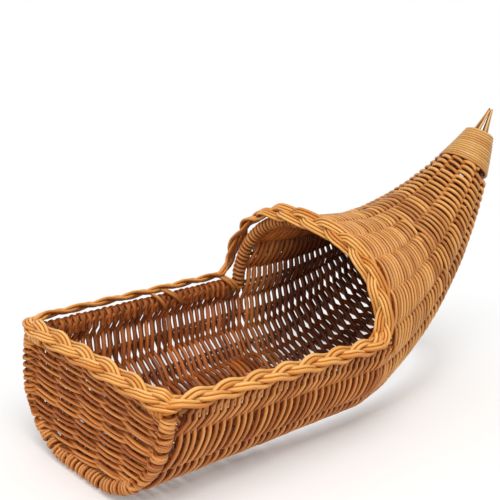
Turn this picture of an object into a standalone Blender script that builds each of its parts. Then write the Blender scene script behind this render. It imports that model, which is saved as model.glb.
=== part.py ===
"""A cornucopia basket: an open trough of woven willow that runs on into a curved, tapering horn.

The basket stands on z = 0 with the end panel towards -X, the tip towards +X and the far side towards +Y.
Sizes are in metres.
"""

import math

import bmesh
import bpy
import numpy as np
from mathutils import Matrix, Vector

# Trough, to its outer skin
TROUGH_LENGTH = 0.1894
END_WIDTH = 0.150
MOUTH_WIDTH = 0.1613
END_ROD_HEIGHT = 0.0713
MOUTH_ROD_HEIGHT = 0.0651
FOOT_LEAN = 0.0070
BASE_PRESS = 0.0012
LOW_POWER = 2.47

# Horn, to its outer skin
HORN_REACH = 0.2098
HORN_CLIMB = 0.1176
START_PULL = 0.0996
END_PULL = 0.0723
START_SLOPE = math.radians(-1.0)
END_SLOPE = math.radians(59.3)
ARCH_RISE = 0.0740
ARCH_LEAN = math.radians(-2.4)
ARCH_POWER = 2.3
NECK_RADIUS = 0.0120
SETTLE = 0.0075
SETTLE_BEND = 0.004
SETTLE_SHARE = 0.45
TAPER_POWER = 0.98
TURN_SHARE = 0.35
ROUND_SHARE = 0.667
BINDING_SHARE = 0.846
TRIM_SHARES = (0.0, 0.10, 0.04)
DIP_SHARE = 0.124

# Rods and canes
WEAVE = 0.0030
STAKE = 0.0030
FRAME_ROD = 0.0044
WRAP_CANE = 0.0028
TOP_ROD = 0.0060
END_STAKE = 0.0028
BINDING_CANE = 0.0018
TIP_CANE = 0.0016
TIP_LENGTH = 0.0227
BORDER_WIDTH = 0.0125
BORDER_THICKNESS = 0.0065
RIM_ROLL = math.radians(60)
ARCH_ROLL = math.radians(60)
BORDER_TURN = 0.012
COIL_GAP = 0.0006
GAP = 0.0003

# Counts
LOWER_STAKES = 8
UPPER_STAKES = 8
END_STAKES = 5
TIP_STAKE_STEP = 3
BINDING_TURNS = 14
CORNER_TURNS = 3
LOOP_POINTS = 24
HORN_STEPS = 14
WALL_STEPS = 4

# What follows from them
TUBE_RADIUS = FRAME_ROD / 2 + GAP + WRAP_CANE
STAKE_INSET = WEAVE + 2 * GAP + STAKE / 2
NECK_INSET = BINDING_CANE + 2 * GAP + STAKE / 2
BORDER_SEAT = TUBE_RADIUS + GAP + BORDER_THICKNESS / 2
HOOP_X = TROUGH_LENGTH + BORDER_SEAT * math.sin(ARCH_ROLL)
LINES = LOWER_STAKES + UPPER_STAKES + 2
FAR_LINE = LOWER_STAKES + 1
RIM_CLEAR = math.sqrt(TUBE_RADIUS**2 - (TUBE_RADIUS - WEAVE) ** 2) + 2 * GAP
CORNER_PITCH = WRAP_CANE + COIL_GAP
CORNER_HEIGHT = CORNER_TURNS * CORNER_PITCH + WRAP_CANE


def clear_scene():
    for thing in list(bpy.data.objects):
        bpy.data.objects.remove(thing, do_unlink=True)


def new_collection(name):
    collection = bpy.data.collections.new(name)
    bpy.context.scene.collection.children.link(collection)
    return collection


def willow(name, colour, roughness):
    material = bpy.data.materials.new(name)
    material.use_nodes = True
    shader = material.node_tree.nodes["Principled BSDF"]
    shader.inputs["Base Color"].default_value = (*colour, 1.0)
    shader.inputs["Roughness"].default_value = roughness
    shader.inputs["Metallic"].default_value = 0.0
    return material


def ease(value):
    """A smooth step from 0 to 1."""
    value = min(max(value, 0.0), 1.0)
    return value * value * (3 - 2 * value)


def mix(first, last, share):
    return first * (1 - share) + last * share


# Outer shape

def spine(share):
    """The horn's middle line at a share of its length, and its slope there."""
    ends = (
        Vector((TROUGH_LENGTH, 0, MOUTH_ROD_HEIGHT)),
        Vector((TROUGH_LENGTH + HORN_REACH, 0, MOUTH_ROD_HEIGHT + HORN_CLIMB)),
    )
    handles = (
        ends[0] + START_PULL * Vector((math.cos(START_SLOPE), 0, math.sin(START_SLOPE))),
        ends[1] - END_PULL * Vector((math.cos(END_SLOPE), 0, math.sin(END_SLOPE))),
    )
    left = 1 - share
    place = left**3 * ends[0] + 3 * left**2 * share * handles[0]
    place += 3 * left * share**2 * handles[1] + share**3 * ends[1]
    heading = left**2 * (handles[0] - ends[0]) + 2 * left * share * (handles[1] - handles[0])
    heading += share**2 * (ends[1] - handles[1])
    return place, math.atan2(heading.z, heading.x)


def share_at(x):
    """The share of the horn's length at which its middle line passes x."""
    low, high = 0.0, 1.0
    for _ in range(40):
        middle = (low + high) / 2
        if spine(middle)[0].x < x:
            low = middle
        else:
            high = middle
    return low


def outline(angle, half_width, depth, rise, low_power, high_power):
    """A point on a rounded outline: flatter than an ellipse, deeper below than above."""
    power = low_power if math.sin(angle) < 0 else high_power
    height = -depth if math.sin(angle) < 0 else rise
    across = half_width * math.copysign(abs(math.cos(angle)) ** (2 / power), math.cos(angle))
    return across, height * abs(math.sin(angle)) ** (2 / power)


def edge_angle(drop, depth, power):
    """How far round from the rim an outline of this depth has dropped by that much."""
    return math.asin(min(1.0, (drop / depth) ** (power / 2)))


def settled(lift, share):
    """The height of the horn's underside: it is let down at first, so that it rests on the floor."""
    def bend(height):
        return (height + math.hypot(height, SETTLE_BEND)) / 2

    return max(0.0, bend(lift - SETTLE * (1 - ease(share / SETTLE_SHARE))) - bend(-SETTLE))


def power_at(share, power):
    """How square an outline is at a share of the horn: it eases to an ellipse."""
    return 2 + (power - 2) * max(0.0, 1 - share / ROUND_SHARE)


def horn_point(share, angle, inset):
    """A point of the horn, lying inside its outer skin by the inset."""
    centre, slope = spine(share)
    left = (1 - share) ** TAPER_POWER
    half_width = mix(NECK_RADIUS, MOUTH_WIDTH / 2, left)
    rise = mix(NECK_RADIUS, ARCH_RISE, left)
    depth = centre.z - settled(centre.z - mix(NECK_RADIUS, MOUTH_ROD_HEIGHT, left), share)
    depth += BASE_PRESS * (1 - ease(share / SETTLE_SHARE))
    low_power, high_power = power_at(share, LOW_POWER), power_at(share, ARCH_POWER)
    across, up = outline(angle, half_width - inset, depth - inset, rise - inset, low_power, high_power)
    tilt = mix(ARCH_LEAN, slope, min(1.0, share / TURN_SHARE))
    z = centre.z + up * math.cos(tilt)
    return Vector((centre.x - up * math.sin(tilt), across, max(z, inset)))


def horn_inside(share, angle, inset, step=1e-4):
    """A point inside the horn, at the inset square to its outer skin."""
    along = min(share, 1 - step)
    skin = horn_point(share, angle, 0)
    lengthwise = horn_point(along + step, angle, 0) - horn_point(along - step, angle, 0)
    crosswise = horn_point(share, angle + step, 0) - horn_point(share, angle - step, 0)
    inwards = lengthwise.cross(crosswise).normalized()
    return skin + inset * inwards


def panel_point(angle, inset, back):
    """A point of the leaning end panel's outline, behind its outer face by the amount back."""
    depth = END_ROD_HEIGHT + BASE_PRESS - inset
    across, up = outline(angle, END_WIDTH / 2 - inset, depth, 0.0, LOW_POWER, LOW_POWER)
    z = max(END_ROD_HEIGHT + up, inset)
    return Vector((back - FOOT_LEAN * (1 - z / END_ROD_HEIGHT), across, z))


def trough_start(angle, inset):
    return panel_point(angle, inset, 2 * TUBE_RADIUS + GAP)


# Lines along which the stakes run, spread evenly round the mouth

def spread(first, last, count, steps=400):
    """Angles between two others, evenly spaced along the mouth's outline."""
    angles = [mix(first, last, i / steps) for i in range(steps + 1)]
    points = [horn_point(0, angle, 0) for angle in angles]
    run = [0.0]
    for here, there in zip(points, points[1:]):
        run.append(run[-1] + (there - here).length)
    wanted = [run[-1] * (i + 1) / (count + 1) for i in range(count)]
    return [float(angle) for angle in np.interp(wanted, run, angles)]


def mouth_lines():
    below = spread(-math.pi, 0.0, LOWER_STAKES)
    above = spread(0.0, math.pi, UPPER_STAKES)
    return [-math.pi, *below, 0.0, *above]


MOUTH_ANGLES = mouth_lines()


def line_angle(line, share):
    """Where a stake's line crosses the section at a share of the horn: even by angle at the neck."""
    turns, line = divmod(line, LINES)
    at_neck = -math.pi / 2 + 2 * math.pi * (line - FAR_LINE / 2) / LINES
    return mix(MOUTH_ANGLES[line], at_neck, ease(share)) + 2 * math.pi * turns


def wall_angles(first, last, share):
    """The angles of the lines from first to last, and of even steps between them."""
    angles = []
    for line in range(first, last):
        here, there = line_angle(line, share), line_angle(line + 1, share)
        angles += [mix(here, there, step / WALL_STEPS) for step in range(WALL_STEPS)]
    return angles


def wall_dips(first, last, share):
    """How far in the wall lies at the same angles: most midway between two stakes, and flat on the floor."""
    dips = []
    for line in range(first, last):
        here, there = (horn_point(share, line_angle(end, share), 0) for end in (line, line + 1))
        deepest = min(DIP_SHARE * (there - here).length, max(here.z, there.z))
        dips += [deepest * (1 - math.cos(2 * math.pi * step / WALL_STEPS)) / 2 for step in range(WALL_STEPS)]
    return dips


HOOP_SHARE = share_at(HOOP_X)
WALL_START = share_at(HOOP_X + TUBE_RADIUS + 3 * GAP)
WALL_END = BINDING_SHARE - (BINDING_CANE + GAP) / (HORN_REACH + HORN_CLIMB)
STATIONS = [mix(WALL_START, WALL_END, i / HORN_STEPS) for i in range(HORN_STEPS + 1)]


# Ways of making a piece

def finish(piece, name, material):
    piece.name = name
    piece.data.name = name
    piece.data.materials.append(material)
    BASKET.objects.link(piece)
    return piece


def rod(name, points, diameter, material, sides=1, radii=None, caps=True):
    """A rod of round section along a line of points."""
    curve = bpy.data.curves.new(name, "CURVE")
    curve.dimensions = "3D"
    curve.bevel_depth = diameter / 2
    curve.bevel_resolution = sides
    curve.use_fill_caps = caps
    spline = curve.splines.new("POLY")
    spline.points.add(len(points) - 1)
    for place, point in zip(spline.points, points):
        place.co = (*point, 1.0)
    if radii:
        for place, radius in zip(spline.points, radii):
            place.radius = radius
    spline.use_smooth = True
    return finish(bpy.data.objects.new(name, curve), name, material)


def sleeve(name, points, material):
    """The turns of cane round a frame rod, as one plain tube with the rod's bore."""
    piece = rod(name, points, 2 * TUBE_RADIUS, material, sides=2, caps=False)
    wall = piece.modifiers.new("turns", "SOLIDIFY")
    wall.thickness = WRAP_CANE
    wall.offset = -1
    return piece


def loft(name, rings, material, ring_closed, path_closed=False):
    """A surface through rings of points that have the same count."""
    form = bmesh.new()
    rows = [[form.verts.new(point) for point in ring] for ring in rings]
    pairs = list(zip(rows, rows[1:]))
    if path_closed:
        pairs.append((rows[-1], rows[0]))
    for row, following in pairs:
        count = len(row)
        for i in range(count if ring_closed else count - 1):
            after = (i + 1) % count
            form.faces.new((row[i], row[after], following[after], following[i]))
    mesh = bpy.data.meshes.new(name)
    form.to_mesh(mesh)
    form.free()
    mesh.shade_smooth()
    return finish(bpy.data.objects.new(name, mesh), name, material)


def wall(piece):
    """Gives an open surface the thickness of the weave, inwards."""
    thick = piece.modifiers.new("weave", "SOLIDIFY")
    thick.thickness = WEAVE
    thick.offset = -1
    return piece


def least_gap(points, diameter, loop):
    """The least space that a wound cane leaves to its own turns, in millimetres."""
    places = np.array([tuple(point) for point in points])
    away = np.linalg.norm(places[:, None] - places[None], axis=2)
    index = np.arange(len(places))
    away[np.abs(index[:, None] - index[None]) < loop // 2] = np.inf
    return (away.min() - diameter) * 1000


# End panel

def end_frame():
    """The U-shaped rod round the end panel, the turns over it, and the turns that close its two tops."""
    reach = END_ROD_HEIGHT + BASE_PRESS - TUBE_RADIUS
    low_edge = edge_angle(CORNER_HEIGHT + 2 * GAP, reach, LOW_POWER)
    angles = [*wall_angles(0, FAR_LINE, 0), 0.0]
    points = [panel_point(angle, TUBE_RADIUS, TUBE_RADIUS) for angle in angles]
    rod("end_frame", points, FRAME_ROD, FRAME_MATERIAL, sides=2)
    inner = [angle for angle in angles if -math.pi + low_edge < angle < -low_edge]
    covered = [-math.pi + low_edge, *inner, -low_edge]
    points = [panel_point(angle, TUBE_RADIUS, TUBE_RADIUS) for angle in covered]
    sleeve("end_frame_wrap", points, WEAVE_MATERIAL)
    for side, name in ((-1, "near"), (1, "far")):
        corner_binding(f"corner_binding_{name}", side, reach)


def corner_binding(name, side, reach):
    """Turns of cane round the top of a leg of the end frame."""
    points = []
    count = CORNER_TURNS * LOOP_POINTS
    radius = (FRAME_ROD + WRAP_CANE) / 2 + GAP
    for i in range(count + 1):
        turn = 2 * math.pi * i / LOOP_POINTS
        drop = WRAP_CANE / 2 + CORNER_PITCH * i / LOOP_POINTS
        round_rim = edge_angle(drop, reach, LOW_POWER)
        angle = -round_rim if side > 0 else -math.pi + round_rim
        centre = panel_point(angle, TUBE_RADIUS, TUBE_RADIUS)
        points.append(centre + radius * Vector((math.cos(turn), side * math.sin(turn), 0)))
    rod(name, points, WRAP_CANE, BORDER_MATERIAL)
    print(f"{name}: least gap to itself {least_gap(points, WRAP_CANE, LOOP_POINTS):.2f} mm")


def end_top():
    """The bar across the top of the end panel. Its middle is returned."""
    lift = TUBE_RADIUS - TOP_ROD / 2
    x = TUBE_RADIUS - lift * math.cos(RIM_ROLL)
    z = END_ROD_HEIGHT + lift * math.sin(RIM_ROLL)
    reach = END_WIDTH / 2 - 2 * TUBE_RADIUS - 2 * GAP
    rod("end_top_rod", [(x, -reach, z), (x, reach, z)], TOP_ROD, BORDER_MATERIAL, sides=2)
    return Vector((x, 0, z))


def end_panel(top):
    """The woven sheet of the end panel and the upright stakes behind its outer weavers."""
    inset = 2 * TUBE_RADIUS + GAP
    head = top.z - TOP_ROD / 2 - GAP
    lean = math.atan2(FOOT_LEAN, END_ROD_HEIGHT)
    back = TUBE_RADIUS - END_STAKE / 2 - GAP - WEAVE / 2
    low_edge = edge_angle(END_ROD_HEIGHT - head, END_ROD_HEIGHT + BASE_PRESS - inset, LOW_POWER)
    inner = [angle for angle in wall_angles(1, FAR_LINE, 0) if -math.pi + low_edge < angle < -low_edge]
    corners = [panel_point(angle, inset, back) for angle in [-math.pi + low_edge, *inner, -low_edge]]
    curve = bpy.data.curves.new("end_weave", "CURVE")
    curve.dimensions = "2D"
    curve.fill_mode = "BOTH"
    curve.extrude = WEAVE / 2
    spline = curve.splines.new("POLY")
    spline.points.add(len(corners) - 1)
    for place, corner in zip(spline.points, corners):
        place.co = (corner.y, (corner.z - END_ROD_HEIGHT) / math.cos(lean), 0.0, 1.0)
    spline.use_cyclic_u = True
    sheet = finish(bpy.data.objects.new("end_weave", curve), "end_weave", WEAVE_MATERIAL)
    along_up = Vector((math.sin(lean), 0, math.cos(lean)))
    facing = Vector((0, 1, 0)).cross(along_up)
    turned = Matrix((Vector((0, 1, 0)), along_up, facing)).transposed().to_4x4()
    sheet.matrix_world = Matrix.Translation((back, 0, END_ROD_HEIGHT)) @ turned
    half_width = END_WIDTH / 2 - inset
    for i in range(END_STAKES):
        y = half_width * (2 * (i + 1) / (END_STAKES + 1) - 1)
        edge = abs(y) + END_STAKE / 2
        depth = END_ROD_HEIGHT + BASE_PRESS - inset
        fall = depth * (1 - (edge / half_width) ** LOW_POWER) ** (1 / LOW_POWER)
        foot = max(END_ROD_HEIGHT - fall, inset) + GAP
        points = [(TUBE_RADIUS - FOOT_LEAN * (1 - z / END_ROD_HEIGHT), y, z) for z in (foot, head)]
        rod(f"end_stake_{i + 1}", points, END_STAKE, STAKE_MATERIAL, sides=2)


# Trough and horn

def trough_weave():
    """The woven wall of the trough, a U from one rim to the other."""
    rings = []
    for share in (0, 0.25, 0.5, 0.75, 1):
        rings.append(wall_row(lambda angle, dip: mix(trough_start(angle, dip), horn_point(0, angle, dip), share)))
    last = share_at(HOOP_X + TUBE_RADIUS + 2 * GAP)
    for share in (last / 2, last):
        rings.append(wall_row(lambda angle, dip: horn_point(share, angle, dip), power_at(share, LOW_POWER)))
    wall(loft("trough_weave", rings, WEAVE_MATERIAL, ring_closed=False))


def wall_row(place, power=LOW_POWER):
    """One crosswise row of the trough's outer skin, ending flat just under the rims' turns of cane."""
    edge = edge_angle(RIM_CLEAR, place(0.0, 0.0).z + BASE_PRESS, power)
    angles = [-math.pi + edge, *wall_angles(0, FAR_LINE, 0)[1:], -edge]
    dips = [0.0, 0.0, *wall_dips(0, FAR_LINE, 0)[2:-1], 0.0, 0.0]
    return [place(angle, dip) for angle, dip in zip(angles, dips)]


def horn_weave():
    """The woven wall of the horn, a tapering tube."""
    rings = []
    for share in STATIONS:
        spots = zip(wall_angles(0, LINES, share), wall_dips(0, LINES, share))
        rings.append([horn_point(share, angle, dip) for angle, dip in spots])
    wall(loft("horn_weave", rings, WEAVE_MATERIAL, ring_closed=True))


def stake_inset(share):
    """Stakes lie behind the outer weavers, and nearer the skin where the neck is bound."""
    return mix(STAKE_INSET, NECK_INSET, ease((share - BINDING_SHARE) / (1 - BINDING_SHARE)))


def stake_end(line, stations):
    """One stake in three runs out at the tip, one stops in the binding and one part way along."""
    return (HORN_STEPS * 3 // 5, HORN_STEPS + 2, stations - 1)[line % TIP_STAKE_STEP]


def stakes():
    """The lengthwise rods: from the end panel under the trough, or from the arch over the horn."""
    neck = [mix(BINDING_SHARE, 1, step / 4) for step in range(1, 5)]
    shares = [0.0, *STATIONS, *neck]
    for line in range(LINES):
        below = 0 < line < FAR_LINE
        last = stake_end(line, len(shares))
        reached = shares[0 if below else 1 : last + 1]
        points = [horn_inside(share, line_angle(line, share), stake_inset(share)) for share in reached]
        if below:
            points[0] = horn_point(0, line_angle(line, 0), STAKE_INSET)
            points.insert(0, trough_start(line_angle(line, 0), STAKE_INSET))
        else:
            edge = horn_point(WALL_START, line_angle(line, WALL_START), 0)
            points[0] = mix(points[0], points[1], (edge.x - points[0].x) / (points[1].x - points[0].x))
        radii = [1.0] * len(points)
        if last == len(shares) - 1:
            gather(line, points, radii)
        rod(stake_name(line), points, STAKE, STAKE_MATERIAL, radii=radii)


def stake_name(line):
    if line == 0:
        return "side_stake_near"
    if line == FAR_LINE:
        return "side_stake_far"
    if line < FAR_LINE:
        return f"trough_stake_{line:02d}"
    return f"arch_stake_{line - FAR_LINE:02d}"


def gather(line, points, radii):
    """Carries a stake on past the binding, drawing it in to the bundle at the tip."""
    top, slope = spine(1)
    heading = Vector((math.cos(slope), 0, math.sin(slope)))
    out = points[-1] - top
    bundle = (TIP_CANE + GAP) / (2 * math.sin(math.pi * TIP_STAKE_STEP / LINES))
    trim = TRIM_SHARES[(line // TIP_STAKE_STEP) % len(TRIM_SHARES)]
    steps = 3
    for step in range(1, steps + 1):
        share = step / steps * (1 - trim)
        spread_out = mix(out.length, bundle, share)
        points.append(top + heading * TIP_LENGTH * share + out.normalized() * spread_out)
        radii.append(mix(1.0, TIP_CANE / STAKE, share))


def tip_binding():
    """One fine cane wound round the gathered stakes."""
    edge = BINDING_CANE / 2 / END_PULL / 3
    count = BINDING_TURNS * LOOP_POINTS
    points = []
    for i in range(count + 1):
        share = mix(BINDING_SHARE + edge, 1 - edge, i / count)
        points.append(horn_point(share, 2 * math.pi * i / LOOP_POINTS, BINDING_CANE / 2))
    rod("tip_binding", points, BINDING_CANE, BINDING_MATERIAL)
    print(f"tip_binding: least gap to itself {least_gap(points, BINDING_CANE, LOOP_POINTS):.2f} mm")


# Frame rods round the opening

def rim_line(side, x):
    """The middle of a rim's rod at x."""
    angle = 0.0 if side > 0 else -math.pi
    first = trough_start(angle, TUBE_RADIUS)
    last = horn_point(0, angle, TUBE_RADIUS)
    return mix(first, last, (x - first.x) / (last.x - first.x))


def rims():
    for side, name in ((-1, "near"), (1, "far")):
        ends = (2 * TUBE_RADIUS + GAP, HOOP_X - TUBE_RADIUS - GAP)
        points = [rim_line(side, mix(*ends, i / 4)) for i in range(5)]
        rod(f"rim_rod_{name}", points, FRAME_ROD, FRAME_MATERIAL, sides=2)
        sleeve(f"rim_wrap_{name}", points, WEAVE_MATERIAL)


def arch():
    """The hoop over the horn's mouth. Its feet stand on the trough's wall."""
    angles = [*wall_angles(FAR_LINE, LINES, 0), math.pi]
    points = [horn_point(HOOP_SHARE, angle, TUBE_RADIUS) for angle in angles]
    drop = Vector((0, 0, RIM_CLEAR - 2 * GAP))
    points = [points[0] - drop, *points, points[-1] - drop]
    rod("arch_hoop", points, FRAME_ROD, FRAME_MATERIAL, sides=2)
    sleeve("arch_wrap", points, WEAVE_MATERIAL)


# Plaited border

def arch_run():
    """The border's seats over the arch, from the near foot to the far one: place and facing."""
    edge = edge_angle(2 * BORDER_TURN, ARCH_RISE, ARCH_POWER)
    steps = 20
    run = []
    for i in range(steps + 1):
        angle = mix(math.pi - edge, edge, i / steps)
        middle = horn_point(HOOP_SHARE, angle, TUBE_RADIUS)
        out = (horn_point(HOOP_SHARE, angle, 0) - middle).normalized()
        facing = out * math.cos(ARCH_ROLL) + Vector((-1, 0, 0)) * math.sin(ARCH_ROLL)
        run.append((middle + BORDER_SEAT * facing, facing))
    return run


def rim_run(side):
    """The border's seats along a rim, from the end panel to the arch."""
    facing = Vector((0, side * math.cos(RIM_ROLL), math.sin(RIM_ROLL)))
    ends = (TUBE_RADIUS + BORDER_TURN, TROUGH_LENGTH - BORDER_TURN)
    return [(rim_line(side, mix(*ends, i / 6)) + BORDER_SEAT * facing, facing) for i in range(7)]


def end_run():
    """The border's seats across the end panel, from the far corner to the near one."""
    facing = Vector((-math.cos(RIM_ROLL), 0, math.sin(RIM_ROLL)))
    reach = END_WIDTH / 2 - TUBE_RADIUS - BORDER_TURN
    middle = Vector((TUBE_RADIUS, 0, END_ROD_HEIGHT)) + BORDER_SEAT * facing
    return [(middle + Vector((0, mix(reach, -reach, i / 6), 0)), facing) for i in range(7)]


def bridge(first, last, steps=5, pull_share=0.4):
    """Seats that carry the border round a corner, from the end of one run to the start of the next."""
    start, end = first[-1][0], last[0][0]
    pull = (end - start).length * pull_share
    out = start + pull * (start - first[-2][0]).normalized()
    back = end - pull * (last[1][0] - end).normalized()
    seats = []
    for i in range(1, steps):
        share = i / steps
        left = 1 - share
        place = left**3 * start + 3 * left**2 * share * out + 3 * left * share**2 * back + share**3 * end
        seats.append((place, mix(first[-1][1], last[0][1], share).normalized()))
    return seats


def braided_border():
    """The flat plait on the rim, once round the opening, as a plain band."""
    runs = [end_run(), rim_run(-1), arch_run(), rim_run(1)[::-1]]
    seats = []
    for run, following in zip(runs, runs[1:] + runs[:1]):
        seats += run + bridge(run, following)
    rings = []
    sides = 8
    for i, (place, facing) in enumerate(seats):
        heading = (seats[(i + 1) % len(seats)][0] - seats[i - 1][0]).normalized()
        across = heading.cross(facing).normalized() * BORDER_WIDTH / 2
        out = across.cross(heading).normalized() * BORDER_THICKNESS / 2
        turns = [2 * math.pi * k / sides for k in range(sides)]
        rings.append([place + across * math.cos(turn) - out * math.sin(turn) for turn in turns])
    loft("braided_border", rings, BORDER_MATERIAL, ring_closed=True, path_closed=True)


def centre_along_x():
    """Moves the basket so that the origin lies under the middle of its length."""
    bpy.context.view_layer.update()
    graph = bpy.context.evaluated_depsgraph_get()
    reach = []
    for piece in BASKET.objects:
        evaluated = piece.evaluated_get(graph)
        mesh = evaluated.to_mesh()
        reach += [(piece.matrix_world @ vertex.co).x for vertex in mesh.vertices]
        evaluated.to_mesh_clear()
    middle = (min(reach) + max(reach)) / 2
    for piece in BASKET.objects:
        piece.matrix_world = Matrix.Translation((-middle, 0, 0)) @ piece.matrix_world
    print(f"the end panel's rim stands at x = {-middle:.4f}")


clear_scene()
BASKET = new_collection("cornucopia_basket")
WEAVE_MATERIAL = willow("woven_willow", (0.42, 0.20, 0.07), 0.48)
STAKE_MATERIAL = willow("stake_willow", (0.38, 0.18, 0.06), 0.50)
FRAME_MATERIAL = willow("frame_rod", (0.33, 0.15, 0.05), 0.55)
BORDER_MATERIAL = willow("plaited_willow", (0.60, 0.33, 0.11), 0.42)
BINDING_MATERIAL = willow("binding_cane", (0.62, 0.38, 0.15), 0.40)

end_frame()
end_panel(end_top())
trough_weave()
horn_weave()
stakes()
tip_binding()
rims()
arch()
braided_border()
centre_along_x()
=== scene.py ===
import math
import random

import bpy
from mathutils import Matrix, Vector, noise


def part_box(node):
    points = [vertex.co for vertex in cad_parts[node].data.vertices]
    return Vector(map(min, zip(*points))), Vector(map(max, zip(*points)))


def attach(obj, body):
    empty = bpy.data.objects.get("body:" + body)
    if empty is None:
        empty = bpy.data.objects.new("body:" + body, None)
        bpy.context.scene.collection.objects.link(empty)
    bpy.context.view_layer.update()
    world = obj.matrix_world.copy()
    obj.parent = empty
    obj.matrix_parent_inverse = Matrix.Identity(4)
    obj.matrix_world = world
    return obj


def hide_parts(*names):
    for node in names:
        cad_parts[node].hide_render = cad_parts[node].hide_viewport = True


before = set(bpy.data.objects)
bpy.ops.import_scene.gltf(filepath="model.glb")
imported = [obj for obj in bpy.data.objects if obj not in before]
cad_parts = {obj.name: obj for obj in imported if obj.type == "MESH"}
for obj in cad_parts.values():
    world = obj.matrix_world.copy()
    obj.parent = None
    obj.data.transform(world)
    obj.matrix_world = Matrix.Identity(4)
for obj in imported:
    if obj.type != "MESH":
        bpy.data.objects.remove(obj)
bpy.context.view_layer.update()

# A cornucopia basket of stained willow, woven round its imported frame. It stands on z = 0 with its end
# panel towards -X, its tip towards +X and its far side towards +Y, and its sizes are in metres. Places
# are worked out from the end panel's rim, and shifted to the imported frame as each piece is made.


# Stakes: straight peeled willow rods that run lengthwise inside the weave, 8 in the trough, 8 over the
# arch and 2 that carry on from the rims, with 5 uprights in the end panel. They are stained like the
# weave, and painted darker for the shade they lie in.

class Socket:
    """An output of a node in a material. Sums on it add Math nodes."""

    def __init__(self, tree, out):
        self.tree = tree
        self.out = out

    def node(self, kind, settings=None, values=None, out=0):
        """Adds a node: its settings first, then the values or links of its sockets."""
        made = self.tree.nodes.new(kind)
        for name, value in (settings or {}).items():
            setattr(made, name, value)
        for name, value in (values or {}).items():
            if isinstance(value, Socket):
                self.tree.links.new(value.out, made.inputs[name])
            else:
                made.inputs[name].default_value = value
        return Socket(self.tree, made.outputs[out])

    def sum(self, operation, first, second):
        return self.node("ShaderNodeMath", {"operation": operation}, {0: first, 1: second})

    def __add__(self, other):
        return self.sum("ADD", self, other)

    def __radd__(self, other):
        return self.sum("ADD", other, self)

    def __sub__(self, other):
        return self.sum("SUBTRACT", self, other)

    def __rsub__(self, other):
        return self.sum("SUBTRACT", other, self)

    def __mul__(self, other):
        return self.sum("MULTIPLY", self, other)

    def __rmul__(self, other):
        return self.sum("MULTIPLY", other, self)


def mixed(factor, first, second):
    """A blend of two colours, by a factor from 0 to 1."""
    colours = {0: factor, 6: first, 7: second}
    return factor.node("ShaderNodeMix", {"data_type": "RGBA", "clamp_factor": True}, colours, out=2)


def mix(first, last, share):
    return first * (1 - share) + last * share


BARE_DEEP, BARE_PALE = (0.60, 0.36, 0.14, 1.0), (0.86, 0.62, 0.32, 1.0)
# Painted highlight on each cane's crest, and painted shade in its grooves.
CREST_HIGHLIGHT, GROOVE_SHADE_TINT = (0.25, 0.20, 0.12), (0.85, 0.6, 0.4)
# How fast, and with what lean by height, the painted shade deepens far inside the horn.
DEEP_SHADE_RAMP, DEEP_SHADE_LEAN = 0.055, 0.45


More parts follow.
